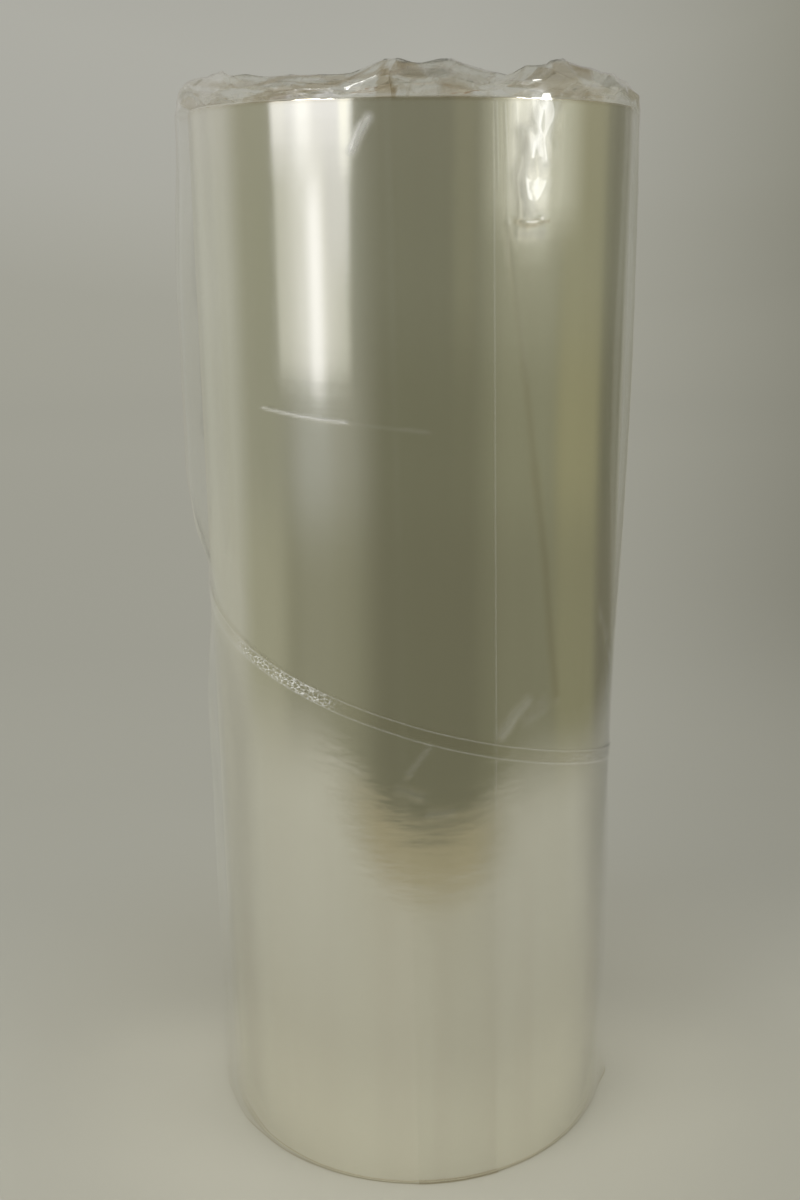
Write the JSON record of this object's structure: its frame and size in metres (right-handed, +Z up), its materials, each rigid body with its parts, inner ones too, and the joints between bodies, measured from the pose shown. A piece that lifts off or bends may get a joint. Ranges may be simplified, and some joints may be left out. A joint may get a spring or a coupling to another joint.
{
  "type": "stretch wrap roll",
  "caption": "Roll of clear stretch film on a cardboard core, standing on end in a loose clear sleeve with a crumpled top and a slanting band of tape.",
  "frame": {"origin": "on the core's axis, in the plane of the lower end that the roll stands on", "axes": "+Z up along the core's bore, -Y towards the front"},
  "size_m": [0.2156, 0.2081, 0.5157],
  "materials": {
    "core_board": "spiral wound, matte",
    "wound_film": "many clear turns, mirror gloss",
    "clear_sleeve": "clear and crumpled",
    "clear_tape": "clear"
  },
  "bodies": {
    "root": {"core": "core_board", "film_roll": "wound_film", "overwrap": "clear_sleeve", "tape_band": "clear_tape"}
  },
  "joints": []
}
